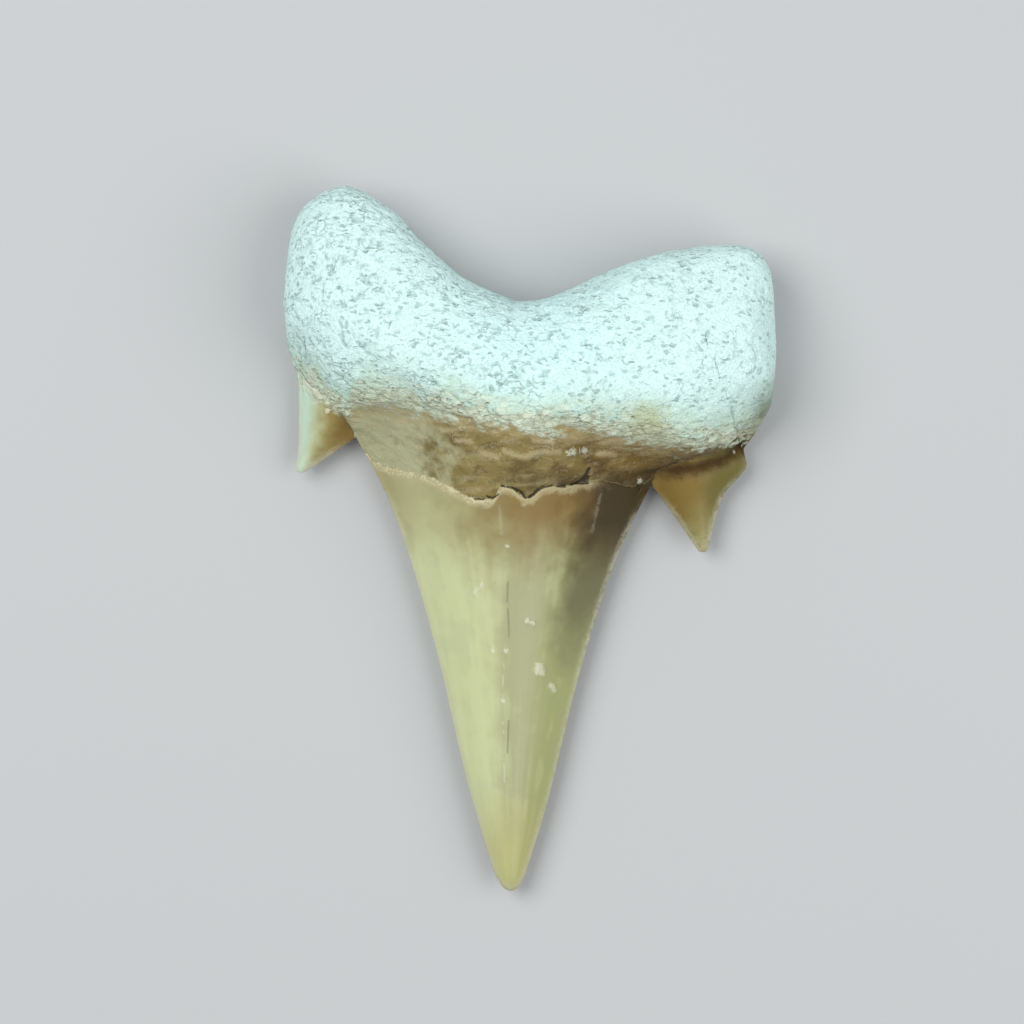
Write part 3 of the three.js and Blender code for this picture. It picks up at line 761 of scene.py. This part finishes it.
        ("marginCream", 0.8, ["root", "margin"]), ("marginTan", 0.75, ["root", "marginLow"]),
        # partly dirt, partly painted shade in the gaps between the margin's grains and in its dashes
        ("marginDirtAndShade", 0.4, ["root", "margin", "gap"]),
        ("marginDirtAndShade", 0.7, ["root", "margin", "dash", "dashLow"]),
        ("marginDirtAndShade", 0.35, ["root", "margin", "arc"]),
        # partly dirt, partly painted shade: the root's lower right corner, which turns under away from the
        # light, is darkened and greened
        ("cornerDirtAndShade", 0.8, ["root", "cornerLow", "cornerRight"]),
        ("linePale", 0.14, ["scuff", "broken"]), ("linePale", 0.4, ["pale", "broken"]),
        ("hairGrey", 0.55, ["hair"]),
        ("grainPale", 0.55, ["grain"]), ("crackDark", 0.85, ["crack"]), ("crackDark", 0.85, ["chip"]),
    ],
    # fine relief: height in millimetres and the shares or patterns that bound it
    "bumps": [
        (0.08, ["grit"]), (0.04, ["speck"]), (0.04, ["root", "speck"]), (0.08, ["root", "flat"]),
        (-0.05, ["root", "dash", "dashHere"]), (-0.04, ["root", "arc", "arcHere"]),
        (-0.04, ["root", "margin", "gap"]), (-0.05, ["root", "margin", "dash", "dashLow"]),
        (0.05, ["enamel", "lines"]), (0.06, ["grain"]), (-0.06, ["crack"]), (-0.06, ["chip"]),
    ],
    # strength of the fine relief, and its share left on the enamel
    "bumpStrength": 0.9, "enamelFineness": 0.15,
    "roughness": {"neck": 0.8, "root": 0.95, "enamel": 0.4},
    "apatiteIor": 1.62, "wornShine": 0.3,  # wear has taken part of the shine that the index alone would give
}


def fossilTooth():
    # coats of colour laid one over the other from the neck's tan up, each bounded by a product of shares
    look = toothLook
    colours = {name: linear(value) for name, value in look["colours"].items()}
    material = bpy.data.materials.new("fossil_apatite")
    material.use_nodes = True
    material.node_tree.nodes.clear()
    add = functools.partial(addNode, material.node_tree)
    field = {name: add("Attribute", {}, "Fac", attribute_name=name) for name in fields}
    metres = add("TexCoord", {}, "Object")
    place = add("VectorMath", {0: metres, "Scale": 1 / mm}, operation="SCALE")
    apart = add("SeparateXYZ", {0: place}, None)
    field["x"], field["y"], field["z"] = apart.outputs

    # patterns in millimetres. Lines follow the crown's own place across, so they meet at its tip
    for name, (size, layers) in look["patterns"].items():
        scaled = add("Mapping", {0: place, "Scale": [1 / length for length in size]})
        field[name] = add("TexNoise", {0: scaled, "Scale": 1.0, "Detail": layers})
    along = add("Math", {0: field["y"], 1: 1 / look["lineLength"]}, operation="MULTIPLY")
    aside = add("Math", {0: field["across"], 1: 1 / look["lineShare"]}, operation="MULTIPLY")
    drawnOut = add("CombineXYZ", {0: aside, 1: along})
    field["lines"] = add("TexNoise", {0: drawnOut, "Scale": 1.0, "Detail": look["lineLayers"]})

    # cells of a warped lattice: distance to their middle, their own chance, and distance to their edge
    warp = add("TexNoise", {0: place, "Scale": 1 / look["warpSize"], "Detail": 1.0}, "Color")
    reach = (look["warpReach"],) * 3
    warped = add("VectorMath", {0: warp, 1: reach, 2: place}, operation="MULTIPLY_ADD")
    for name, size in look["cells"].items():
        scaled = add("Mapping", {0: warped, "Scale": [1 / length for length in size]})
        cell = add("TexVoronoi", {0: scaled, "Scale": 1.0}, None)
        field[name], field[name + "Chance"] = cell.outputs["Distance"], cell.outputs["Color"]
    field["edge"] = add("TexVoronoi", {0: scaled, "Scale": 1.0}, feature="DISTANCE_TO_EDGE")

    share = {name: field[name] for name in ("grit", "speck", "flat", "lines")}
    for name, (start, weights, nothing, everything) in look["shares"].items():
        value = field[start]
        for pattern, weight in weights.items():
            value = add("Math", {0: field[pattern], 1: weight, 2: value}, operation="MULTIPLY_ADD")
        share[name] = add("MapRange", {0: value, 1: nothing, 2: everything}, interpolation_type="SMOOTHSTEP")

    # marks: the stored offset with its ends frayed by noise, within one width and close to the mark
    fray = add("TexNoise", {0: place, "Scale": 1 / look["fraySize"], "Detail": 1.0}, "Color")
    fray = add("VectorMath", {0: fray, 1: (0.5, 0.5, 0.5)}, operation="SUBTRACT")
    for name, (jitter, softness, cutOff) in look["marks"].items():
        offset = add("Attribute", {}, "Vector", attribute_name=name)
        frayed = add("VectorMath", {0: fray, 1: (jitter, jitter, 0), 2: offset}, operation="MULTIPLY_ADD")
        plain = add("VectorMath", {0: frayed, 1: (1, 1, 0)}, operation="MULTIPLY")
        width = add("VectorMath", {0: plain}, "Value", operation="LENGTH")
        inside = add("MapRange", {0: width, 1: 1 + softness, 2: 1 - softness},
                     interpolation_type="SMOOTHSTEP")
        distance = add("SeparateXYZ", {0: offset}, 2)
        fadesFrom = look["cutFade"] * cutOff
        near = add("MapRange", {0: distance, 1: cutOff, 2: fadesFrom}, interpolation_type="SMOOTHSTEP")
        share[name] = add("Math", {0: inside, 1: near}, operation="MULTIPLY")

    colour = colours["neckTan"]
    for name, strength, bounds in look["coats"]:
        factor = strength
        for bound in bounds:
            factor = add("Math", {0: share[bound], 1: factor}, operation="MULTIPLY")
        colour = add("Mix", {0: factor, 6: colour, 7: colours[name]}, 2, data_type="RGBA")

    height = 0.0
    for amount, bounds in look["bumps"]:
        for bound in bounds:
            amount = add("Math", {0: share[bound], 1: amount}, operation="MULTIPLY")
        height = add("Math", {0: amount, 1: height}, operation="ADD")
    keep = add("MapRange", {0: share["enamel"], 3: 1.0, 4: look["enamelFineness"]})
    height = add("Math", {0: height, 1: keep}, operation="MULTIPLY")
    bump = add("Bump", {"Height": height, "Distance": 1 * mm, "Strength": look["bumpStrength"]})

    rough = add("MapRange", {0: share["enamel"], 3: look["roughness"]["neck"],
                             4: look["roughness"]["enamel"]})
    for name in ("crevice", "root"):
        rough = add("Mix", {0: share[name], 2: rough, 3: look["roughness"]["root"]})
    shader = add("BsdfPrincipled", {"Base Color": colour, "Roughness": rough, "Normal": bump,
                                    "IOR": look["apatiteIor"], "Specular IOR Level": look["wornShine"]})
    add("OutputMaterial", {"Surface": shader}, None)
    print("material nodes", len(material.node_tree.nodes))
    return material


for name, values in fields.items():
    storeField(surface, name, values)
for name in toothLook["marks"]:
    storeField(surface, name, offsets[name])
surface.materials.append(fossilTooth())
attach(tooth, "root")
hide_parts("tooth")


# Uncoated paper, pressed even and matt, so it takes a soft shadow and shows no shine
paperFloor = {"reach": 600, "colour": "#BDBFC0", "roughness": 0.9}
studioSky = {"colour": "#E6EAEC", "strength": 0.5}
studioLight = {
    "key": {"place": (-120, 60, 220), "size": 170, "watts": 0.42},
    "fill": {"place": (150, -20, 170), "size": 200, "watts": 0.26},
}
photoView = {"centre": (-0.875, 1.4), "plane": 2.0, "width": 51.2, "lens": 200, "sensor": 36}


def addFloor():
    # one square of pale paper under the tooth
    reach = paperFloor["reach"] * mm
    floorMesh = bpy.data.meshes.new("floor")
    floorMesh.from_pydata([(-reach, -reach, 0), (reach, -reach, 0), (reach, reach, 0), (-reach, reach, 0)],
                          [],
                          [(0, 1, 2, 3)])
    floor = bpy.data.objects.new("floor", floorMesh)
    bpy.context.scene.collection.objects.link(floor)
    material = bpy.data.materials.new("pale_paper")
    material.use_nodes = True
    shader = material.node_tree.nodes["Principled BSDF"]
    shader.inputs["Base Color"].default_value = linear(paperFloor["colour"])
    shader.inputs["Roughness"].default_value = paperFloor["roughness"]
    floorMesh.materials.append(material)


def addLight(name, place, size, watts):
    # a square lamp that faces the tooth
    data = bpy.data.lights.new(name, "AREA")
    data.size = size * mm
    data.energy = watts
    light = bpy.data.objects.new(name, data)
    light.location = [c * mm for c in place]
    light.rotation_euler = (-light.location).to_track_quat("-Z", "Y").to_euler()
    bpy.context.scene.collection.objects.link(light)


def photoCamera():
    # straight above, as high as the lens needs for the photo's width at the height of one plane
    view = photoView
    data = bpy.data.cameras.new("camera")
    data.lens, data.sensor_width = view["lens"], view["sensor"]
    data.clip_start = 1 * mm
    camera = bpy.data.objects.new("camera", data)
    height = view["plane"] + view["width"] * view["lens"] / view["sensor"]
    camera.location = (view["centre"][0] * mm, view["centre"][1] * mm, height * mm)
    bpy.context.scene.collection.objects.link(camera)
    bpy.context.scene.camera = camera


addFloor()
for name, settings in studioLight.items():
    addLight(name, **settings)
world = bpy.data.worlds.new("studio")
world.use_nodes = True
sky = world.node_tree.nodes["Background"]
sky.inputs["Color"].default_value = linear(studioSky["colour"])
sky.inputs["Strength"].default_value = studioSky["strength"]
bpy.context.scene.world = world
bpy.context.scene.view_settings.view_transform = "Standard"
photoCamera()
print("lights and camera placed")

bpy.context.view_layer.update()
